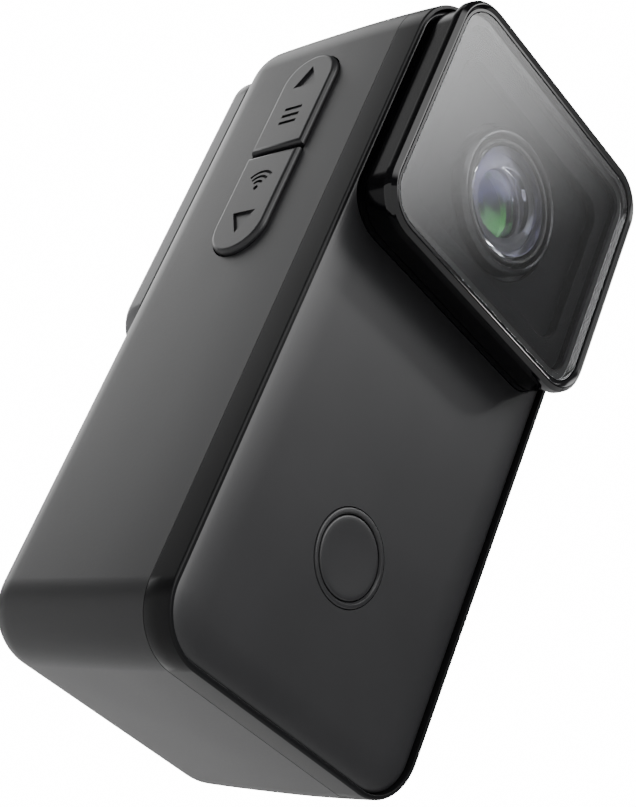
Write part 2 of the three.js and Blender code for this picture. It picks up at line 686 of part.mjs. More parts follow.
// ---- battery door ----
const doorInner = bodyDepth - doorThickness;
const latchHalf = 3.6;
const latchLow = doorTop - 6;
const latchHigh = latchLow + 3.4;
const latchDepth = bodyDepth - 0.75;
function makeDoor() {
  const panel = block(doorHalf, doorInner, bodyDepth, doorBottom, doorTop);
  const knuckle = bar('x', knuckleRadius, -doorHalf, doorHalf, hingeY, doorBottom, 24);
  return cut(
    join(panel, knuckle),
    bar('x', pinRadius + 0.15, -doorHalf - 1, doorHalf + 1, hingeY, doorBottom, 16),
    block(latchHalf + running, latchDepth - 0.25, bodyDepth + 1, latchLow - running,
      latchHigh + latchTravel + running),
    block(latchTongueHalf + running, latchDepth - 0.25, latchDepth + 0.6, latchHigh, doorTop + 1),
  );
}
addNode('battery_door', makeDoor(), 'shell');
addNode('door_seal', cut(
  block(bayHalf + 0.6, doorInner - 0.4, doorInner, bayBottom - 0.3, bayTop + 0.5),
  block(bayHalf - 0.8, doorInner - 1, doorInner + 1, bayBottom + 1, bayTop - 0.8),
), 'rubber');
const pinEnd = doorHalf + 1.3;
addNode('door_hinge_pin', bar('x', pinRadius, -pinEnd, pinEnd, hingeY, doorBottom, 12), 'steel');
addNode('door_latch', join(
  block(latchHalf, latchDepth, bodyDepth - 0.05, latchLow, latchHigh),
  block(latchTongueHalf, latchDepth, latchDepth + 0.35, latchHigh - 0.1, doorTop - 0.1),
  ...[0.7, 1.7, 2.7].map((z) => block(latchHalf - 0.8, bodyDepth - 0.1, bodyDepth + 0.2,
    latchLow + z - 0.2, latchLow + z + 0.2)),
), 'gloss');

export default camera;
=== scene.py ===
"""A thumb-size action camera: casing, lens head, keys, screen and battery door."""
import json
import math

import bpy
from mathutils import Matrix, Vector


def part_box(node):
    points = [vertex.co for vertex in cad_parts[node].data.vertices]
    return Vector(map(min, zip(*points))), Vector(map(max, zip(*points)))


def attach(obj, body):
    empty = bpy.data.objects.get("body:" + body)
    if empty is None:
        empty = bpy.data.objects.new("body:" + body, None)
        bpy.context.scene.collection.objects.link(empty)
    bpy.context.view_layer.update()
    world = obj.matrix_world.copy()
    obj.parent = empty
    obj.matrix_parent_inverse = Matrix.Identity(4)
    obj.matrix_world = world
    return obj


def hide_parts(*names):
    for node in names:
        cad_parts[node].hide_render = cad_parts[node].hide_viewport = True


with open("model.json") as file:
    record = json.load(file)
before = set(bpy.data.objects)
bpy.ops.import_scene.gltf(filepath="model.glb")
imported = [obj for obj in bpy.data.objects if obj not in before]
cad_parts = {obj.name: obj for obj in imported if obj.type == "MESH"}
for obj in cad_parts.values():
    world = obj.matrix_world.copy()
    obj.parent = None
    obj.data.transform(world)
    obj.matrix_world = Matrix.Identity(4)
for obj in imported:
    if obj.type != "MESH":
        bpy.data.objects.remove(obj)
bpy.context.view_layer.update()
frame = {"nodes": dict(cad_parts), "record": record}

# ---------------------------------------------------------------- sizes, in millimetres

METRE = 1000
TINY = 1e-3


def cad(node):
    """A CAD node's lowest and highest corner."""
    low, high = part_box(node)
    return low * METRE, high * METRE


def middle(low, high, axis):
    """The middle of a piece along an axis, from its two corners."""
    return (low[axis] + high[axis]) / 2


RIM_LOW, RIM_HIGH = cad("front_frame")
SHELL_LOW, SHELL_HIGH = cad("main_shell")
HEAD_LOW, HEAD_HIGH = cad("lens_bezel")
GLASS_LOW, GLASS_HIGH = cad("front_glass")
NECK_LOW, NECK_HIGH = cad("head_housing")
MASK_LOW, MASK_HIGH = cad("lens_mask")
COLLAR_LOW, COLLAR_HIGH = cad("lens_collar")
BARREL_LOW, BARREL_HIGH = cad("lens_barrel")
DOME_LOW, DOME_HIGH = cad("front_lens")
RING_LOW, RING_HIGH = cad("record_button_ring")
UPPER_LOW, UPPER_HIGH = cad("upper_key")
LOWER_LOW, LOWER_HIGH = cad("lower_key")
SCREEN_LOW, SCREEN_HIGH = cad("screen_bezel")
DOOR_LOW, DOOR_HIGH = cad("battery_door")
PIN_LOW, PIN_HIGH = cad("door_hinge_pin")
LATCH_LOW, LATCH_HIGH = cad("door_latch")
USB_LOW, USB_HIGH = cad("usb_port")
CARD_LOW, CARD_HIGH = cad("memory_card")
SPEAKER_LOW, SPEAKER_HIGH = cad("speaker")
MIC_LOW, MIC_HIGH = cad("microphone")
LIGHT_LOW, LIGHT_HIGH = cad("status_light_guide")

FRONT = RIM_LOW.y
BACK = SHELL_HIGH.y
HALF = SHELL_HIGH.x
TOP = SHELL_HIGH.z
BASE_CORNER = 4.7
TOP_CORNER = 5.3
REAR_ROUND = 3.5
WALL = 1.5
GAP = 0.12
CLEAR = 1

HEAD_CORNER = 3.75
NECK_INSET = 0.35
LENS_Z = middle(HEAD_LOW, HEAD_HIGH, 2)
BUTTON_Z = middle(RING_LOW, RING_HIGH, 2)

KEY_FLANGE = 0.7
KEY_FACE = UPPER_LOW.x
KEY_Y = (UPPER_LOW.y + KEY_FLANGE - GAP, UPPER_HIGH.y - KEY_FLANGE + GAP)
KEY_Z = (LOWER_LOW.z + KEY_FLANGE - GAP, UPPER_HIGH.z - KEY_FLANGE + GAP)
KEY_MIDDLE_Y = middle(UPPER_LOW, UPPER_HIGH, 1)
MARK_DEPTH = 0.2

SCREEN_CORNER = 3.5
HINGE_Y = middle(PIN_LOW, PIN_HIGH, 1)
HINGE_Z = middle(PIN_LOW, PIN_HIGH, 2)
KNUCKLE = 1.2
PIN_HOLE = 0.5
DOOR_THICK = 1.4
LATCH_TRAVEL = 1.2
TONGUE_HALF = 2.5
LATCH_POCKET = LATCH_LOW.y - 0.25


def at(depth):
    """The Y of a depth behind the body's front plane."""
    return FRONT + depth


# ---------------------------------------------------------------- modelling


def pick(obj, kind, test):
    """Goes into edit mode with only the vertices, edges or polygons selected that pass a test."""
    bpy.ops.object.mode_set(mode="OBJECT")
    mesh = obj.data
    for group in (mesh.vertices, mesh.edges, mesh.polygons):
        group.foreach_set("select", [False] * len(group))
    for item in getattr(mesh, kind):
        item.select = test(item)
    kinds = ("vertices", "edges", "polygons")
    bpy.context.tool_settings.mesh_select_mode = [kind == each for each in kinds]
    bpy.ops.object.mode_set(mode="EDIT")


def done():
    bpy.ops.object.mode_set(mode="OBJECT")


def placed(obj, name):
    """Gives a new primitive its name and puts its size and place in its mesh."""
    obj.name = name
    bpy.ops.object.transform_apply(location=True, rotation=True, scale=True)
    return obj


def block(x, y, z, name="tool"):
    """A square-edged block between (low, high) pairs."""
    bpy.ops.object.select_all(action="DESELECT")
    middle = [(low + high) / 2 for low, high in (x, y, z)]
    size = [high - low for low, high in (x, y, z)]
    bpy.ops.mesh.primitive_cube_add(size=1, location=middle, scale=size)
    return placed(bpy.context.object, name)


def edges_along(obj, axis, where=None):
    """A test for the edges of obj that run along an axis, at a place on another axis if one is given."""
    points = [v.co.copy() for v in obj.data.vertices]

    def test(edge):
        a, b = (points[i] for i in edge.vertices)
        along = (a - b).length - abs(a[axis] - b[axis]) < TINY
        if where is None:
            return along
        return along and abs(a[where[0]] - where[1]) < TINY

    return test


def edges_at(obj, axis, value):
    """A test for the edges of obj that lie in a plane across an axis."""
    points = [v.co.copy() for v in obj.data.vertices]
    return lambda edge: all(abs(points[i][axis] - value) < TINY for i in edge.vertices)


def faces_at(obj, axis, value):
    """A test for the faces of obj that lie in a plane across an axis."""
    points = [v.co.copy() for v in obj.data.vertices]
    return lambda face: all(abs(points[i][axis] - value) < TINY for i in face.vertices)


def round_edges(obj, test, radius, steps):
    """Rounds the picked edges."""
    pick(obj, "edges", test)
    bpy.ops.mesh.bevel(offset=radius, segments=steps, profile=0.5, affect="EDGES", clamp_overlap=False)
    done()


def slab(x, y, z, low, high=None, axis=1, steps=14, name="tool"):
    """A block with the four edges along one axis rounded, by one radius below and one above."""
    obj = block(x, y, z, name)
    height = 1 if axis == 2 else 2
    span = (x, y, z)[height]
    for value, radius in ((span[0], low), (span[1], low if high is None else high)):
        round_edges(obj, edges_along(obj, axis, (height, value)), radius, steps)
    return obj


def pill(x, y, z, axis=0, steps=16, name="tool"):
    """A block whose narrow ends are full rounds."""
    spans = [x, y, z]
    across = [spans[i][1] - spans[i][0] for i in range(3) if i != axis]
    return slab(x, y, z, min(across) * 0.4999, axis=axis, steps=steps, name=name)


def rod(axis, radius, span, u, v, sides=96, name="tool"):
    """A round bar along an axis over a span, at (u, v) on the other two axes."""
    bpy.ops.object.select_all(action="DESELECT")
    middle = (span[0] + span[1]) / 2
    place = {0: (middle, u, v), 1: (u, middle, v), 2: (u, v, middle)}[axis]
    turn = {0: (0, math.pi / 2, 0), 1: (math.pi / 2, 0, 0), 2: (0, 0, 0)}[axis]
    bpy.ops.mesh.primitive_cylinder_add(
        vertices=sides, radius=radius, depth=span[1] - span[0], location=place, rotation=turn
    )
    return placed(bpy.context.object, name)


def shape_face(obj, test, steps):
    """Insets the picked face again and again, by (inset, rise) pairs."""
    pick(obj, "polygons", test)
    for inset, rise in steps:
        bpy.ops.mesh.inset(thickness=inset, depth=rise)
    done()


def arc_steps(width, rise, count):
    """(inset, rise) pairs of a quarter ellipse, steep at the outside and flat at the inside."""
    turns = [math.pi / 2 * i / count for i in range(count + 1)]
    return [
        (width * (math.cos(a) - math.cos(b)), rise * (math.sin(b) - math.sin(a)))
        for a, b in zip(turns, turns[1:])
    ]


def dome_steps(radius, rise, count, last=0.08):
    """(inset, rise) pairs of a sphere cap, from its rim to a small flat at the middle."""
    sphere = (radius * radius + rise * rise) / (2 * abs(rise))
    height = lambda r: math.sqrt(sphere * sphere - r * r)
    rims = [radius * (1 - (1 - last) * i / count) for i in range(count + 1)]
    sign = math.copysign(1, rise)
    return [(a - b, sign * (height(b) - height(a))) for a, b in zip(rims, rims[1:])]


def bend_ring(obj, test, centre, inset, half, tall):
    """Draws the picked vertices in towards a centre, by an inset on a half width and a half height."""
    pick(obj, "vertices", test)
    bpy.ops.transform.resize(
        value=((half - inset) / half, 1, (tall - inset) / tall), center_override=centre
    )
    done()


def boolean(obj, tool, operation):
    """Cuts or joins obj by a tool, and removes the tool."""
    bpy.ops.object.select_all(action="DESELECT")
    bpy.context.view_layer.objects.active = obj
    modifier = obj.modifiers.new("boolean", "BOOLEAN")
    modifier.operation = operation
    modifier.solver = "EXACT"
    modifier.object = tool
    bpy.ops.object.modifier_apply(modifier=modifier.name)
    bpy.data.objects.remove(tool, do_unlink=True)
    return obj


def cut(obj, *tools):
    for tool in tools:
        boolean(obj, tool, "DIFFERENCE")
    return obj


def join(obj, *tools):
    for tool in tools:
        boolean(obj, tool, "UNION")
    return obj


def apply_modifier(obj, kind, **settings):
    bpy.ops.object.select_all(action="DESELECT")
    bpy.context.view_layer.objects.active = obj
    modifier = obj.modifiers.new(kind.lower(), kind)
    for key, value in settings.items():
        setattr(modifier, key, value)
    bpy.ops.object.modifier_apply(modifier=modifier.name)


def soften(obj, width, steps=2, angle=50):
    """Takes the sharpness off the edges that turn more than an angle."""
    apply_modifier(
        obj, "BEVEL", width=width, segments=steps, limit_method="ANGLE",
        angle_limit=math.radians(angle), use_clamp_overlap=True, miter_outer="MITER_ARC",
    )
    return obj


def fit(obj, node, body, material, smooth=40):
    """Finishes a piece that stands for a CAD node: metres, smooth shading, body, slot and material."""
    bpy.ops.object.select_all(action="DESELECT")
    obj.name = f"{node}_piece"
    obj.data.name = obj.name
    bpy.context.view_layer.objects.active = obj
    obj.select_set(True)
    bpy.ops.object.mode_set(mode="EDIT")
    bpy.ops.mesh.select_all(action="SELECT")
    bpy.ops.mesh.remove_doubles(threshold=1e-4)
    bpy.ops.mesh.normals_make_consistent(inside=False)
    done()
    obj.scale = (1 / METRE,) * 3
    bpy.ops.object.transform_apply(location=True, rotation=True, scale=True)
    bpy.ops.object.shade_smooth_by_angle(angle=math.radians(smooth), keep_sharp_edges=False)
    apply_modifier(obj, "WEIGHTED_NORMAL", keep_sharp=True, weight=60)
    obj.data.materials.clear()
    obj.data.materials.append(material)
    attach(obj, body)
    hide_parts(node)
    return obj


# ---------------------------------------------------------------- shader maths


class Wire:
    """A shader socket that takes part in Python expressions."""

    def __init__(self, graph, socket):
        self.graph = graph
        self.socket = socket

    def math(self, operation, *values):
        return self.graph.node("ShaderNodeMath", {"operation": operation}, dict(enumerate(values)))

    def __add__(self, other):
        return self.math("ADD", self, other)

    def __radd__(self, other):
        return self.math("ADD", other, self)

    def __sub__(self, other):
        return self.math("SUBTRACT", self, other)

    def __rsub__(self, other):
        return self.math("SUBTRACT", other, self)

    def __mul__(self, other):
        return self.math("MULTIPLY", self, other)

    def __rmul__(self, other):
        return self.math("MULTIPLY", other, self)


class Graph:
    """The node tree of a material or world, with one method that adds a node."""

    def __init__(self, owner):
        owner.use_nodes = True
        self.tree = owner.node_tree
        self.tree.nodes.clear()

    def node(self, kind, settings=None, inputs=None, output=0):
        """Adds a node: its settings first, then the values or links of its sockets."""
        node = self.tree.nodes.new(kind)
        for key, value in (settings or {}).items():
            setattr(node, key, value)
        for key, value in (inputs or {}).items():
            if isinstance(value, Wire):
                self.tree.links.new(value.socket, node.inputs[key])
            else:
                node.inputs[key].default_value = value
        return Wire(self, node.outputs[output]) if node.outputs else node

    def place(self):
        """The place on the object, in metres."""
        return self.node("ShaderNodeTexCoord", output="Object")

    def noise(self, size, detail=2, vector=None):
        """Noise from 0 to 1 whose blobs measure a size in millimetres."""
        return self.node(
            "ShaderNodeTexNoise", {},
            {"Vector": vector or self.place(), "Scale": METRE / size, "Detail": detail},
        )

    def blend(self, factor, low, high):
        """A colour between two colours."""
        return self.node(
            "ShaderNodeMix", {"data_type": "RGBA"}, {0: factor, 6: (*low, 1), 7: (*high, 1)}, output=2
        )

    def bump(self, height, depth, strength=1.0):
        """A normal from a height map whose full height measures a depth in millimetres."""
        return self.node(
            "ShaderNodeBump", {}, {"Height": height, "Distance": depth / METRE, "Strength": strength}
        )


def finished(name, build, **uniform):
    """A material whose Principled shader gets its varying sockets from build(graph)."""
    material = bpy.data.materials.new(name)
    graph = Graph(material)
    shader = graph.node("ShaderNodeBsdfPrincipled", {}, {**uniform, **build(graph)})
    graph.node("ShaderNodeOutputMaterial", {}, {"Surface": shader})
    return material


def moulded(name, colour, roughness, grain=0.16, depth=0.004, **uniform):
    """Moulded plastic: a fine spark-eroded grain, faint flow marks and a slightly uneven sheen."""

    def build(graph):
        flow = graph.noise(9, 3)
        fine = graph.noise(grain, 2)
        lighter = [c * 1.25 for c in colour]
        return {
            "Base Color": graph.blend(flow, colour, lighter),
            "Roughness": roughness - 0.05 + flow * 0.06 + fine * 0.06,
            "Normal": graph.bump(fine, depth),
        }

    return finished(name, build, **{"IOR": 1.5, **uniform})


def polished(name, colour, roughness=0.06, **uniform):
    """Polished plastic: nearly a mirror, with a trace of orange peel and fine wipe marks."""

    def build(graph):
        peel = graph.noise(2.4, 2)
        smear = graph.noise(6, 4)
        return {
            "Base Color": graph.blend(smear, colour, [c * 1.3 for c in colour]),
            "Roughness": roughness + smear * 0.05,
            "Normal": graph.bump(peel, 0.0012),
        }

    return finished(name, build, **{"IOR": 1.5, **uniform})


def metal(name, colour, roughness=0.28):
    """Plated sheet metal with fine rolling lines."""

    def build(graph):
        lines = graph.node(
            "ShaderNodeMapping", {}, {"Vector": graph.place(), "Scale": (1, 1, 14)}
        )
        brushed = graph.noise(1.5, 3, lines)
        return {
            "Base Color": graph.blend(brushed, [c * 0.82 for c in colour], colour),
            "Roughness": roughness - 0.06 + brushed * 0.14,
            "Normal": graph.bump(brushed, 0.0015),
        }

    return finished(name, build, Metallic=1.0)


def clear(name, tint, roughness=0.0, **uniform):
    """Coated glass, with a trace of smear in its polish."""

    def build(graph):
        smear = graph.noise(7, 3)
        return {
            "Base Color": graph.blend(smear, tint, [min(1, c * 1.03) for c in tint]),
            "Roughness": roughness + smear * 0.02,
        }

    return finished(name, build, **{"Transmission Weight": 1.0, "IOR": 1.5, **uniform})


def coated_lens(name, sheen, share):
    """Lens glass under a coating: part of what it reflects takes the coating's colour."""
    spread = 0.03
    material = bpy.data.materials.new(name)
    graph = Graph(material)
    smear = graph.noise(2.5, 2)
    glass = graph.node(
        "ShaderNodeBsdfPrincipled", {},
        {"Base Color": (0.96, 0.97, 1, 1), "Transmission Weight": 1.0, "Roughness": smear * 0.015,
         "IOR": 1.27, "Specular Tint": (*sheen, 1)},
    )
    film = graph.node(
        "ShaderNodeBsdfPrincipled", {},
        {"Base Color": graph.blend(smear, [c * 0.75 for c in sheen], sheen), "Metallic": 1.0,
         "Roughness": 0.1},
    )
    amount = share - spread / 2 + smear * spread
    mixed = graph.node("ShaderNodeMixShader", {}, {0: amount, 1: glass, 2: film})
    graph.node("ShaderNodeOutputMaterial", {}, {"Surface": mixed})
    return material


def barrel_with_painted_ring(name):
    """Blackened metal, with a lighter colour painted on the inner ledge close to the lens axis: a
    painted light ring.
    """
    painted_ring_radius = 3.25
    fade = 0.15

    def build(graph):
        offset = graph.node(
            "ShaderNodeVectorMath", {"operation": "SUBTRACT"},
            {0: graph.place(), 1: (0, 0, LENS_Z / METRE)},
        )
        across = graph.node(
            "ShaderNodeVectorMath", {"operation": "MULTIPLY"}, {0: offset, 1: (1, 0, 1)}
        )
        radius = graph.node(
            "ShaderNodeVectorMath", {"operation": "LENGTH"},
            {0: across},
            output="Value",
        )
        # Painted light ring: the colour is lighter inside this radius and stands in for the lit ring
        # seen through the lens.
        dark = graph.node(
            "ShaderNodeMapRange", {},
            {"Value": radius, "From Min": painted_ring_radius / METRE, "From Max": (painted_ring_radius + fade) / METRE},
        )
        grain = graph.noise(0.8, 2)
        return {
            "Base Color": graph.blend(dark, (0.05, 0.05, 0.053), (0.004, 0.004, 0.0045)),
            "Roughness": 0.4 + grain * 0.08,
        }

    return finished(name, build, IOR=1.5)


def circuit_board(name):
    """Solder mask over copper tracks."""

    def build(graph):
        tracks = graph.node(
            "ShaderNodeTexBrick", {"offset": 0.37},
            {"Vector": graph.place(), "Scale": 420, "Mortar Size": 0.03, "Brick Width": 1.7,
             "Row Height": 0.23},
            output="Fac",
        )
        cloud = graph.noise(1.2, 2)
        return {
            "Base Color": graph.blend(
                tracks * 0.7 + cloud * 0.2, (0.006, 0.045, 0.018), (0.03, 0.11, 0.05)
            ),
            "Roughness": 0.34 + cloud * 0.12,
            "Normal": graph.bump(tracks, 0.02),
        }

    return finished(name, build)


SHELL = moulded("shell_plastic", (0.0125, 0.0125, 0.0135), 0.40)
COVER = moulded("cover_plastic", (0.0115, 0.0115, 0.0125), 0.36, grain=0.14, depth=0.0025)
# Painted shade: the front frame is glossier than the shell, and its darker black stands in for the shade
# that falls on the front band.
FRAME_PAINTED_SHADE = moulded("frame_plastic", (0.005, 0.005, 0.0055), 0.30, depth=0.002, IOR=1.24)
KEY = moulded("key_plastic", (0.0105, 0.0105, 0.0115), 0.36, grain=0.12, depth=0.003)
GLOSS = polished("gloss_black", (0.0025, 0.0025, 0.003), 0.05)
NECK = polished("neck_black", (0.002, 0.002, 0.0025), 0.12, IOR=1.26)
# Painted highlight: the screen trim's light grey, far lighter than the black casing, stands in for the
# highlight along the frame's rounded edge.
SCREEN_TRIM_PAINTED_HIGHLIGHT = moulded("screen_trim_painted_highlight", (0.15, 0.15, 0.155), 0.3, grain=0.1, depth=0.002)
TRIM = polished("satin_trim", (0.006, 0.006, 0.007), 0.16)
INNER = moulded("lens_black", (0.004, 0.004, 0.0045), 0.42, grain=0.1, depth=0.002)
PAINT = polished("lens_paint", (0.0035, 0.0035, 0.004), 0.5, IOR=1.18)
RUBBER = moulded("black_rubber", (0.011, 0.011, 0.011), 0.78, grain=0.22, depth=0.012)
STEEL = metal("steel", (0.62, 0.62, 0.63))
GOLD = metal("contact_metal", (0.85, 0.62, 0.27), 0.22)
BOARD = circuit_board("circuit_board")
CHIP = moulded("chip_plastic", (0.012, 0.012, 0.014), 0.5, grain=0.08, depth=0.006)
WRAP = polished("battery_wrap", (0.03, 0.034, 0.04), 0.25)
COVER_GLASS = clear("cover_glass", (0.93, 0.94, 0.96))
LENS_COATING = {"Thin Film Thickness": 420.0, "Thin Film IOR": 1.38}
LENS_GLASS = clear("lens_glass", (0.95, 0.97, 1.0), **LENS_COATING)
FRONT_ELEMENT = coated_lens("front_element", (0.16, 0.13, 0.60), 0.015)
SECOND_ELEMENT = coated_lens("second_element", (0.10, 0.50, 0.10), 0.11)
DISPLAY = polished("display", (0.004, 0.004, 0.006), 0.08)
BARREL = barrel_with_painted_ring("barrel_with_painted_ring")
LIGHT = moulded("light_guide", (0.32, 0.34, 0.36), 0.3, grain=0.3, depth=0.002)

SLOT_MATERIALS = {
    "shell_plastic": SHELL,
    "frame_plastic": INNER,
    "gloss_black": GLOSS,
    "cover_glass": COVER_GLASS,
    "lens_glass": LENS_GLASS,
    "display": DISPLAY,
    "black_rubber": RUBBER,
    "steel": STEEL,
    "circuit_board": BOARD,
    "chip_plastic": CHIP,
    "battery_wrap": WRAP,
    "contact_metal": GOLD,
}

for part in frame["record"]["subparts"]:
    mesh = frame["nodes"][part["node"]].data
    mesh.materials.clear()
    mesh.materials.append(SLOT_MATERIALS[part["material_slot"]])


# ---------------------------------------------------------------- casing


def body_slab(inset, y, name="tool", steps=18):
    """The body's outline, drawn in by an inset, over a span of Y."""
    return slab(
        (-HALF + inset, HALF - inset), y, (inset, TOP - inset),
        BASE_CORNER - inset, TOP_CORNER - inset, steps=steps, name=name,
    )


def head_slab(inset, y, name="tool"):
    """The lens head's outline, drawn in by an inset, over a span of Y."""
    return slab(
        (HEAD_LOW.x + inset, HEAD_HIGH.x - inset), y, (HEAD_LOW.z + inset, HEAD_HIGH.z - inset),
        HEAD_CORNER - inset, name=name,
    )


def screen_slab(inset, y, name="tool"):
    """The screen's outline, drawn in by an inset, over a span of Y."""
    return slab(
        (SCREEN_LOW.x + inset, SCREEN_HIGH.x - inset), y,
        (SCREEN_LOW.z + inset, SCREEN_HIGH.z - inset), SCREEN_CORNER - inset, name=name,
    )


def crown(depth):
    """How far the body's sides draw in at a depth, by a swell between front and back."""
    fullest = 9
    front_draw, rear_draw = 0.2, 0.1
    front = max(0, 1 - depth / fullest)
    rear = max(0, depth / fullest - 1.2)
    return front_draw * front * front + rear_draw * rear * rear


def crowned_body(y):
    """The body's outer form over a span of Y, its sides swelling a little between front and back."""
    spacing = 1.3
    body = body_slab(0, y)
    places = [y[0]]
    while places[-1] + spacing < min(y[1], BACK - REAR_ROUND):
        places.append(places[-1] + spacing)
        pick(body, "polygons", lambda face: True)
        bpy.ops.mesh.bisect(plane_co=(0, places[-1], 0), plane_no=(0, 1, 0))
        done()
    for place in (*places, y[1]):
        bend_ring(
            body, lambda v: abs(v.co.y - place) < 0.01, (0, place, TOP / 2),
            crown(place - FRONT), HALF, TOP / 2,
        )
    return body


def side_openings():
    """Tools for the key slot on the left, and for the socket, card slot and speaker on the right."""
    inner, outer = HALF - WALL - CLEAR, HALF + CLEAR
    socket_gap = 0.14
    card_gap = (0.3, 0.2)
    slot_half = (2.1, 0.4)
    y = middle(SPEAKER_LOW, SPEAKER_HIGH, 1)
    z = middle(SPEAKER_LOW, SPEAKER_HIGH, 2)
    return [
        pill((-outer, -inner), KEY_Y, KEY_Z),
        pill(
            (inner, outer), (USB_LOW.y - socket_gap, USB_HIGH.y + socket_gap),
            (USB_LOW.z - socket_gap, USB_HIGH.z + socket_gap),
        ),
        pill(
            (inner, outer), (CARD_LOW.y - card_gap[0], CARD_HIGH.y + card_gap[0]),
            (CARD_LOW.z - card_gap[1], CARD_HIGH.z + card_gap[1]),
        ),
        *[
            pill(
                (inner, outer), (y - slot_half[0], y + slot_half[0]),
                (z + step - slot_half[1], z + step + slot_half[1]), steps=8,
            )
            for step in (-4, -2, 0, 2, 4)
        ],
    ]


def top_openings():
    """Tools for the microphone hole and the status light's hole."""
    span = (TOP - 2 * WALL, TOP + CLEAR)
    microphone, light = 0.45, 1.0
    return [
        rod(2, microphone, span, middle(MIC_LOW, MIC_HIGH, 0), middle(MIC_LOW, MIC_HIGH, 1), 32),
        rod(2, light, span, middle(LIGHT_LOW, LIGHT_HIGH, 0), middle(LIGHT_LOW, LIGHT_HIGH, 1), 40),
    ]


def back_openings():
    """Tools for the screen's seat, the cable opening behind it and the battery door's opening."""
    knuckle_gap = 0.22
    cable_half, cable_margin = 9, 5
    door_depth = 3.4
    return [
        screen_slab(-GAP, (SCREEN_LOW.y - 0.02, BACK + 3)),
        block(
            (-cable_half, cable_half), (BACK - 2 * WALL, BACK),
            (SCREEN_LOW.z + cable_margin, SCREEN_HIGH.z - cable_margin),
        ),
        slab(
            (DOOR_LOW.x - GAP, DOOR_HIGH.x + GAP), (BACK - door_depth, BACK + CLEAR),
            (HINGE_Z - KNUCKLE - knuckle_gap, DOOR_HIGH.z + GAP), 0.1, steps=3,
        ),
    ]


def make_main_shell():
    """The body shell: its wall, every opening, the hinge lugs and the latch's keeper slot."""
    shell = crowned_body((SHELL_LOW.y, BACK))
    round_edges(shell, edges_at(shell, 1, BACK), REAR_ROUND, 14)
    inside = body_slab(WALL, (SHELL_LOW.y - CLEAR, BACK - WALL))
    round_edges(inside, edges_at(inside, 1, BACK - WALL), REAR_ROUND - WALL, 6)
    cut(shell, inside)
    cut(shell, *side_openings(), *top_openings(), *back_openings())
    lug_far = 11.8
    for sign in (-1, 1):
        x = sorted((sign * (DOOR_HIGH.x + 0.3), sign * lug_far))
        lug = slab(
            x, (HINGE_Y - 1.4, HINGE_Y + 0.3), (HINGE_Z - 1.0, HINGE_Z + 1.5), 0.4, axis=0, steps=4
        )
        join(shell, lug)
    cut(
        shell,
        rod(0, PIN_HOLE, (PIN_LOW.x - 0.1, PIN_HIGH.x + 0.1), HINGE_Y, HINGE_Z, 32),
        block(
            (-TONGUE_HALF - 0.3, TONGUE_HALF + 0.3), (LATCH_POCKET, LATCH_LOW.y + 0.6),
            (DOOR_HIGH.z, SCREEN_LOW.z + 0.05),
        ),
    )
    soften(shell, 0.07)
    return fit(shell, "main_shell", "root", SHELL)


def make_front_frame():
    """The rim moulding round the front: drafted sides, a rounded lip and a pocket for the cover."""
    lip = 0.62
    floor = 0.8
    border = 4.8
    rim = crowned_body((FRONT, RIM_HIGH.y - 0.02))
    round_edges(rim, edges_at(rim, 1, FRONT), 0.18, 5)
    end = RIM_HIGH.y + CLEAR
    cut(
        rim,
        body_slab(lip, (FRONT - CLEAR, RIM_HIGH.y - floor)),
        head_slab(0.2, (FRONT - CLEAR, end)),
        slab((-HALF + border, HALF - border), (FRONT, end), (border, HEAD_LOW.z + 3), 1.5),
    )
    soften(rim, 0.05)
    return fit(rim, "front_frame", "root", FRAME_PAINTED_SHADE)


def make_front_cover():
    """The front cover: its face rolls over towards its edges."""
    inset = 0.74
    edge_drop = 0.46
    roll = 3.0
    low, high = cad("front_cover")
    cover = body_slab(inset, (low.y + edge_drop, high.y), steps=20)
    shape_face(cover, faces_at(cover, 1, low.y + edge_drop), arc_steps(roll, edge_drop - 0.02, 10))
    through = (low.y - CLEAR, high.y + CLEAR)
    cut(
        cover,
        head_slab(NECK_INSET - 0.06, through),
        rod(1, RING_HIGH.x + 0.07, through, 0, BUTTON_Z),
    )
    soften(cover, 0.05)
    return fit(cover, "front_cover", "root", COVER)


# ---------------------------------------------------------------- lens head


def make_head_housing():
    """The head's neck: a seat for the glass, a well for the lens and a fine groove round its outside."""
    lens_well = 6.9
    glass_seat, cavity = 0.85, 1.9
    neck = head_slab(NECK_INSET, (NECK_LOW.y, NECK_HIGH.y))
    cut(
        neck,
        head_slab(glass_seat, (NECK_LOW.y - CLEAR, GLASS_HIGH.y + 0.35)),
        head_slab(cavity, (NECK_LOW.y - CLEAR, at(1.2))),
        rod(1, lens_well, (NECK_LOW.y, NECK_HIGH.y + CLEAR), 0, LENS_Z),
    )
    groove = (at(-0.62), at(-0.47))
    groove_tool = head_slab(NECK_INSET - 0.15, groove)
    cut(groove_tool, head_slab(NECK_INSET + 0.1, (groove[0] - CLEAR, groove[1] + CLEAR)))
    cut(neck, groove_tool)
    soften(neck, 0.04)
    return fit(neck, "head_housing", "root", NECK)


def make_lens_bezel():
    """The bezel: a ridge with a broad outer chamfer and a slope down to the glass."""
    back = HEAD_HIGH.y
    land = back - 0.3
    bezel = head_slab(0, (land, back))
    rise = land - HEAD_LOW.y
    shape_face(
        bezel, faces_at(bezel, 1, land),
        [(0.02, 0.12), (0.03, rise - 0.45), (0.31, 0.31), (0.07, 0.02), (0.08, -0.03), (0.22, -0.2)],
    )
    cut(bezel, head_slab(0.94, (HEAD_LOW.y - CLEAR, back + CLEAR)))
    return fit(bezel, "lens_bezel", "root", GLOSS, smooth=24)


def make_front_glass():
    """The cover glass, with a fine arris."""
    glass = head_slab(0.99, (GLASS_LOW.y, GLASS_HIGH.y))
    round_edges(glass, edges_at(glass, 1, GLASS_LOW.y), 0.07, 3)
    return fit(glass, "front_glass", "root", COVER_GLASS)


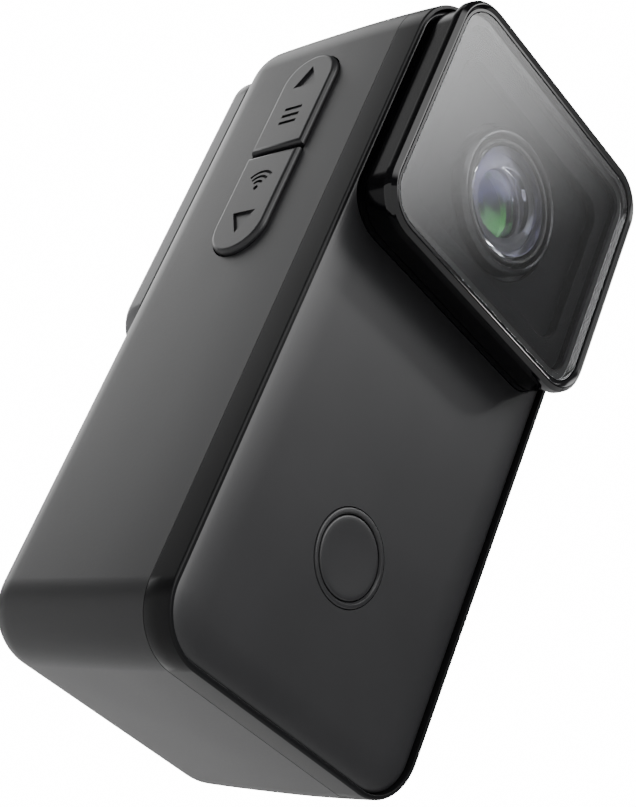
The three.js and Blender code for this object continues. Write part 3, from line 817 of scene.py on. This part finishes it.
def make_lens_mask():
    """The black plate behind the glass, stepped down to a rounded rectangle round the lens."""
    half, tall, step = 9.9, 7.4, 0.9
    lens_hole = 6.4
    mask = slab(
        (MASK_LOW.x, MASK_HIGH.x), (MASK_LOW.y, MASK_HIGH.y), (MASK_LOW.z, MASK_HIGH.z), 1.7
    )
    recess = slab(
        (-half, half), (MASK_LOW.y - CLEAR, MASK_LOW.y + step), (LENS_Z - tall, LENS_Z + tall), 2.0
    )
    cut(mask, recess, rod(1, lens_hole, (MASK_LOW.y - CLEAR, MASK_HIGH.y + CLEAR), 0, LENS_Z))
    soften(mask, 0.12, 3)
    return fit(mask, "lens_mask", "root", PAINT)


def make_lens_collar():
    """The stepped ring round the barrel."""
    base = COLLAR_LOW.y + 0.35
    bore = 5.4
    collar = rod(1, COLLAR_HIGH.x - 0.2, (base, COLLAR_HIGH.y), 0, LENS_Z, 128)
    shape_face(
        collar, faces_at(collar, 1, base),
        [(0.04, 0.06), (0.1, 0.14), (0.12, 0.1), (0.14, 0.02), (0.12, -0.08), (0.1, -0.25)],
    )
    cut(collar, rod(1, bore, (COLLAR_LOW.y - CLEAR, COLLAR_HIGH.y + CLEAR), 0, LENS_Z, 128))
    return fit(collar, "lens_collar", "root", TRIM, smooth=30)


def make_lens_barrel():
    """The barrel: a rounded lip, a stepped bore and a ledge behind the front element."""
    lip = BARREL_LOW.y + 0.2
    start = BARREL_LOW.y - CLEAR
    front_bore, middle_bore, rear_bore = 4.62, 3.9, 3.2
    barrel = rod(1, BARREL_HIGH.x, (lip, BARREL_HIGH.y), 0, LENS_Z, 128)
    shape_face(
        barrel, faces_at(barrel, 1, lip),
        [(0.06, 0.12), (0.1, 0.08), (0.2, 0.0), (0.06, -0.06), (0.06, -1.2)],
    )
    cut(
        barrel,
        rod(1, front_bore, (start, at(-0.4)), 0, LENS_Z, 128),
        rod(1, middle_bore, (start, at(8)), 0, LENS_Z, 96),
        rod(1, rear_bore, (at(7), BARREL_HIGH.y + CLEAR), 0, LENS_Z, 96),
    )
    ledge_bore = 2.75
    ledge = rod(1, middle_bore + 0.05, (DOME_HIGH.y + 0.12, DOME_HIGH.y + 0.42), 0, LENS_Z, 96)
    cut(ledge, rod(1, ledge_bore, (DOME_HIGH.y - CLEAR, DOME_HIGH.y + CLEAR), 0, LENS_Z, 96))
    soften(ledge, 0.12)
    join(barrel, ledge)
    return fit(barrel, "lens_barrel", "root", BARREL, smooth=30)


def make_front_lens():
    """The front element: a polished dome, hollowed behind within a flat rim."""
    radius = 4.5
    rise = 0.8
    flat = 1.5
    rim = DOME_LOW.y + rise
    lens = rod(1, radius, (rim, DOME_HIGH.y), 0, LENS_Z, 128)
    shape_face(lens, faces_at(lens, 1, rim), dome_steps(radius, rise, 14))
    hollow = dome_steps(radius - flat, -rise, 10)
    shape_face(lens, faces_at(lens, 1, DOME_HIGH.y), [(flat, 0.0), *hollow])
    return fit(lens, "front_lens", "root", FRONT_ELEMENT)


def make_second_lens():
    """The second element: a dished front inside a flat rim."""
    low, high = cad("second_lens")
    rim = low.y + 0.1
    lens = rod(1, high.x - 0.02, (rim, high.y - 0.1), 0, LENS_Z, 128)
    shape_face(lens, faces_at(lens, 1, rim), [(0.1, 0.05), (0.75, 0.0), *dome_steps(2.9, -0.7, 12)])
    return fit(lens, "second_lens", "root", SECOND_ELEMENT)


# ---------------------------------------------------------------- controls


def make_record_button():
    """The record button: a dished cap with a rolled edge, its retaining flange and its plunger."""
    low, high = cad("record_button")
    radius, flange, plunger = 3.15, 3.5, 0.8
    face = low.y + 0.2
    cap = rod(1, radius, (face, high.y - 0.5), 0, BUTTON_Z, 128)
    shape_face(
        cap, faces_at(cap, 1, face),
        [*arc_steps(0.16, 0.15, 4), (0.25, 0.0), *[(0.3, -0.008)] * 4, (0.5, -0.008), (0.6, -0.004)],
    )
    join(
        cap,
        rod(1, flange, (high.y - 0.9, high.y - 0.5), 0, BUTTON_Z, 96),
        rod(1, plunger, (high.y - 0.6, high.y), 0, BUTTON_Z, 32),
    )
    return fit(cap, "record_button", "record_button", KEY)


def make_button_ring():
    """The rounded ring round the record button."""
    face = RING_LOW.y + 0.16
    bore = 3.24
    ring = rod(1, RING_HIGH.x, (face, RING_HIGH.y), 0, BUTTON_Z, 128)
    shape_face(
        ring, faces_at(ring, 1, face),
        [*arc_steps(0.13, 0.13, 4), (0.18, 0.0), (0.06, -0.04), (0.05, -0.1)],
    )
    cut(ring, rod(1, bore, (RING_LOW.y - CLEAR, RING_HIGH.y + CLEAR), 0, BUTTON_Z, 128))
    return fit(ring, "record_button_ring", "root", KEY, smooth=30)


def bar(z):
    """A short bar mark at a height."""
    half_wide, half_thick = 0.95, 0.16
    return block(
        (KEY_FACE - CLEAR, KEY_FACE + MARK_DEPTH),
        (KEY_MIDDLE_Y - half_wide, KEY_MIDDLE_Y + half_wide), (z - half_thick, z + half_thick),
    )


def turned_about_x(obj, angle, place):
    """Turns a tool about the X axis and then moves it to its place."""
    bpy.ops.object.select_all(action="DESELECT")
    bpy.context.view_layer.objects.active = obj
    obj.select_set(True)
    obj.rotation_euler = (angle, 0, 0)
    obj.location = place
    return placed(obj, "tool")


def triangle(z, up):
    """A three-sided mark that points up or down."""
    bpy.ops.object.select_all(action="DESELECT")
    bpy.ops.mesh.primitive_cylinder_add(
        vertices=3, radius=1.45, depth=CLEAR + MARK_DEPTH, rotation=(0, math.pi / 2, 0)
    )
    obj = placed(bpy.context.object, "tool")
    point = max(obj.data.vertices, key=lambda v: abs(v.co.y)).co.y
    angle = math.copysign(math.pi / 2, point if up else -point)
    return turned_about_x(obj, angle, (KEY_FACE - CLEAR / 2 + MARK_DEPTH / 2, KEY_MIDDLE_Y, z))


def arc(z, radius, width):
    """A quarter ring that opens upwards, centred under itself."""
    span = (KEY_FACE - CLEAR, KEY_FACE + MARK_DEPTH)
    through = (span[0] - CLEAR, span[1] + CLEAR)
    ring = cut(
        rod(0, radius + width / 2, span, KEY_MIDDLE_Y, z, 64),
        rod(0, radius - width / 2, through, KEY_MIDDLE_Y, z, 64),
    )
    for sign in (-1, 1):
        side = block(through, (-4, 4), (-4, 0))
        cut(ring, turned_about_x(side, sign * math.pi / 4, (0, KEY_MIDDLE_Y, z)))
    return ring


def make_key(node, marks):
    """One half of the side key: a cap with a rolled edge, its retaining flange and its plunger."""
    low, high = cad(node)
    is_upper = node == "upper_key"
    far = (low.z + KEY_FLANGE, high.z - KEY_FLANGE)
    length = KEY_Z[1] - KEY_Z[0] - 2 * GAP
    whole = (far[1] - length, far[1]) if is_upper else (far[0], far[0] + length)
    cap = pill((low.x, high.x - 0.5), (low.y + KEY_FLANGE, high.y - KEY_FLANGE), whole, steps=20)
    x = (low.x - CLEAR, high.x + CLEAR)
    y = (low.y - CLEAR, high.y + CLEAR)
    other_half = (low.z - 30, low.z) if is_upper else (high.z, high.z + 30)
    cut(cap, block(x, y, other_half))
    round_edges(cap, edges_at(cap, 0, low.x), 0.42, 6)
    back = pill(
        (high.x - 0.7, high.x - 0.3), (low.y, high.y),
        (whole[0] - KEY_FLANGE, whole[1] + KEY_FLANGE), steps=12,
    )
    cut(back, block(x, y, other_half))
    half = 0.8
    z = middle(low, high, 2)
    plunger = block(
        (high.x - 0.4, high.x), (KEY_MIDDLE_Y - half, KEY_MIDDLE_Y + half), (z - half, z + half)
    )
    join(cap, back, plunger)
    cut(cap, *marks)
    return fit(cap, node, node, KEY)


def make_keys():
    """Both halves of the side key, and their marks: triangles, bars and a wireless sign."""
    bars = [bar(z) for z in (46.7, 47.45, 48.2)]
    make_key("upper_key", [triangle(51.4, True), *bars])
    sign_z = 39.75
    dot = rod(0, 0.24, (KEY_FACE - CLEAR, KEY_FACE + MARK_DEPTH), KEY_MIDDLE_Y, sign_z, 24)
    arcs = [arc(sign_z, radius, 0.26) for radius in (0.65, 1.15, 1.65)]
    make_key("lower_key", [triangle(36.6, False), dot, *arcs])


# ---------------------------------------------------------------- back


def make_screen_bezel():
    """The screen's frame: a rounded edge, a pocket for the glass and an opening for the display."""
    low, high = SCREEN_LOW, SCREEN_HIGH
    edge = 0.9
    glass_pocket, opening = 0.94, 1.3
    bezel = screen_slab(0, (low.y, high.y))
    round_edges(bezel, edges_at(bezel, 1, high.y), edge, 10)
    cut(
        bezel,
        screen_slab(glass_pocket, (high.y - edge, high.y + CLEAR)),
        screen_slab(opening, (low.y - CLEAR, high.y)),
    )
    soften(bezel, 0.05)
    return fit(bezel, "screen_bezel", "root", SCREEN_TRIM_PAINTED_HIGHLIGHT)


def make_screen_glass():
    """The screen's glass, dark while it is off."""
    low, high = cad("screen_glass")
    glass = screen_slab(1.0, (low.y, high.y))
    round_edges(glass, edges_at(glass, 1, high.y), 0.1, 3)
    return fit(glass, "screen_glass", "root", DISPLAY)


def make_door():
    """The battery door: a flush panel, hinge knuckle, pin hole and the latch's pocket."""
    low, high = DOOR_LOW, DOOR_HIGH
    panel = slab((low.x, high.x), (BACK - DOOR_THICK, BACK), (HINGE_Z, high.z), 0.02, 0.5, steps=5)
    join(panel, rod(0, KNUCKLE, (low.x, high.x), HINGE_Y, HINGE_Z, 64))
    thumb_top = high.z - 2.6
    thumb_half = 3.75
    gap = 0.15
    cut(
        panel,
        rod(0, PIN_HOLE, (low.x - CLEAR, high.x + CLEAR), HINGE_Y, HINGE_Z, 32),
        slab(
            (-thumb_half, thumb_half), (LATCH_POCKET, BACK + CLEAR),
            (LATCH_LOW.z - gap, thumb_top + LATCH_TRAVEL + gap), 0.5, steps=6,
        ),
        block(
            (-TONGUE_HALF - gap, TONGUE_HALF + gap), (LATCH_POCKET, LATCH_LOW.y + 0.5),
            (thumb_top, high.z + CLEAR),
        ),
    )
    soften(panel, 0.07)
    return fit(panel, "battery_door", "battery_door", SHELL)


def make_latch():
    """The latch slider: thumb plate with three ridges, and a flat tongue."""
    low, high = LATCH_LOW, LATCH_HIGH
    thumb_top = low.z + 3.4
    face = BACK - 0.05
    plate = slab((low.x, high.x), (low.y, face), (low.z, thumb_top), 0.4, steps=6)
    soften(plate, 0.08)
    tongue = block((-TONGUE_HALF, TONGUE_HALF), (low.y, low.y + 0.35), (thumb_top - 0.2, high.z))
    half = 0.22
    ridges = [
        pill((low.x + 0.8, high.x - 0.8), (face - 0.2, high.y), (z - half, z + half), steps=5)
        for z in (low.z + 0.7, low.z + 1.7, low.z + 2.7)
    ]
    join(plate, tongue, *ridges)
    return fit(plate, "door_latch", "door_latch", TRIM)


# ---------------------------------------------------------------- sockets in the side and top


def make_usb_port():
    """The USB-C socket: a steel shell with a rolled mouth, and the tongue inside."""
    low, high = USB_LOW, USB_HIGH
    rounding = 1.45
    wall = 0.36
    mouth = high.x - 0.05
    shell = slab((low.x, mouth), (low.y, high.y), (low.z, high.z), rounding, axis=0, steps=12)
    shape_face(shell, faces_at(shell, 0, mouth), [(0.08, 0.05), (0.2, 0.0), (0.04, -0.03)])
    cavity = slab(
        (low.x + 0.8, high.x + CLEAR), (low.y + wall, high.y - wall), (low.z + wall, high.z - wall),
        rounding - wall, axis=0, steps=12,
    )
    cut(shell, cavity)
    half_wide, half_thick = 3.3, 0.35
    y, z = middle(low, high, 1), middle(low, high, 2)
    tongue = slab(
        (low.x + 0.5, high.x - 1), (y - half_wide, y + half_wide), (z - half_thick, z + half_thick),
        0.12, axis=0, steps=3,
    )
    join(shell, tongue)
    return fit(shell, "usb_port", "root", STEEL)


def make_light_guide():
    """The status light's guide: a round tip in the top and a foot on the board."""
    low, high = LIGHT_LOW, LIGHT_HIGH
    x, y = middle(low, high, 0), middle(low, high, 1)
    guide = rod(2, 0.9, (high.z - 2, high.z), x, y, 48)
    round_edges(guide, edges_at(guide, 2, high.z), 0.12, 3)
    foot = slab((low.x, high.x), (low.y, high.y), (low.z, low.z + 1.3), 0.3, axis=2, steps=4)
    join(guide, foot)
    return fit(guide, "status_light_guide", "root", LIGHT)


make_main_shell()
make_front_frame()
make_front_cover()
make_head_housing()
make_lens_bezel()
make_front_glass()
make_lens_mask()
make_lens_collar()
make_lens_barrel()
make_front_lens()
make_second_lens()
make_record_button()
make_button_ring()
make_keys()
make_screen_bezel()
make_screen_glass()
make_door()
make_latch()
make_usb_port()
make_light_guide()

# ---------------------------------------------------------------- camera, floor and studio

CAMERA_LENS = 75.2
CAMERA_PLACE = Vector((-0.0766, -0.0929, -0.0328))
CAMERA_AIM = Vector((-0.0008, 0.0, 0.0284))
CAMERA_ROLL = math.radians(22.9)
FLOOR_SIZE = 6
FLOOR_Z = -0.06
FLOOR_LAMP_PLACE = (0.11, 0.27, -0.01)
FLOOR_LAMP_SIZE = 0.2
FLOOR_LAMP_POWER = 0.2

# The studio's soft lamps, all far off. Each has its direction from the object, its half angle and the
# softness of its edge in degrees, and its strength.
LAMPS = [
    ((0.20, -0.64, 0.75), 11, 14, 5.6),
    ((0.20, -0.64, 0.75), 14, 24, 0.2),
    ((-0.14, 0.85, 0.55), 12, 16, 3.4),
    ((-0.16, -0.88, 0.34), 8, 17, 4.8),
    ((-0.69, -0.47, 0.55), 9, 15, 2.8),
    ((0.50, 0.76, 0.42), 8, 14, 1.6),
    ((0.605, -0.43, 0.67), 1.8, 1, 45),
    ((0.95, 0.25, 0.22), 10, 20, 0.7),
]
AMBIENT = 0.055
BACKDROP = 16.0


def make_camera():
    """Looks up at the object from low on its left, tilted over."""
    data = bpy.data.cameras.new("camera")
    data.lens = CAMERA_LENS
    data.sensor_width = 36
    data.clip_start = 0.005
    camera = bpy.data.objects.new("camera", data)
    bpy.context.scene.collection.objects.link(camera)
    camera.location = CAMERA_PLACE
    camera.rotation_euler = (CAMERA_AIM - CAMERA_PLACE).to_track_quat("-Z", "Y").to_euler()
    camera.rotation_euler.rotate_axis("Z", CAMERA_ROLL)
    bpy.context.scene.camera = camera


def make_floor():
    """A pale paper floor well below the object, since the camera looks up at it."""
    bpy.ops.object.select_all(action="DESELECT")
    bpy.ops.mesh.primitive_plane_add(size=FLOOR_SIZE, location=(0, 0, FLOOR_Z))
    floor = placed(bpy.context.object, "floor")
    paper = moulded("floor_paper", (0.6, 0.6, 0.6), 0.9, grain=1.2, depth=0.02)
    floor.data.materials.append(paper)


def make_floor_lamp():
    """A lamp over the floor behind the object, so that the floor brightens towards the back."""
    light = bpy.data.lights.new("floor_lamp", "AREA")
    light.shape = "DISK"
    light.size = FLOOR_LAMP_SIZE
    light.energy = FLOOR_LAMP_POWER
    lamp = bpy.data.objects.new("floor_lamp", light)
    lamp.location = FLOOR_LAMP_PLACE
    lamp.visible_camera = False
    bpy.context.scene.collection.objects.link(lamp)


def make_studio():
    """Soft lamps on a dim surround, with a white backdrop where the camera looks past the object."""
    world = bpy.data.worlds.new("studio")
    bpy.context.scene.world = world
    graph = Graph(world)
    direction = graph.node("ShaderNodeTexCoord", output="Generated")
    light = AMBIENT
    for axis, inner, soft, strength in LAMPS:
        facing = graph.node(
            "ShaderNodeVectorMath", {"operation": "DOT_PRODUCT"},
            {0: direction, 1: Vector(axis).normalized()}, output="Value",
        )
        lobe = graph.node(
            "ShaderNodeMapRange", {"interpolation_type": "SMOOTHSTEP"},
            {"Value": facing, "From Min": math.cos(math.radians(inner + soft)),
             "From Max": math.cos(math.radians(inner))},
        )
        light = lobe * strength + light
    lamps = graph.node("ShaderNodeBackground", {}, {"Color": (1, 1, 1, 1), "Strength": light})
    backdrop = graph.node(
        "ShaderNodeBackground", {}, {"Color": (1, 1, 1, 1), "Strength": BACKDROP}
    )
    seen = graph.node("ShaderNodeLightPath", output="Is Camera Ray")
    mixed = graph.node("ShaderNodeMixShader", {}, {0: seen, 1: lamps, 2: backdrop})
    graph.node("ShaderNodeOutputWorld", {}, {"Surface": mixed})


make_camera()
make_floor()
make_floor_lamp()
make_studio()
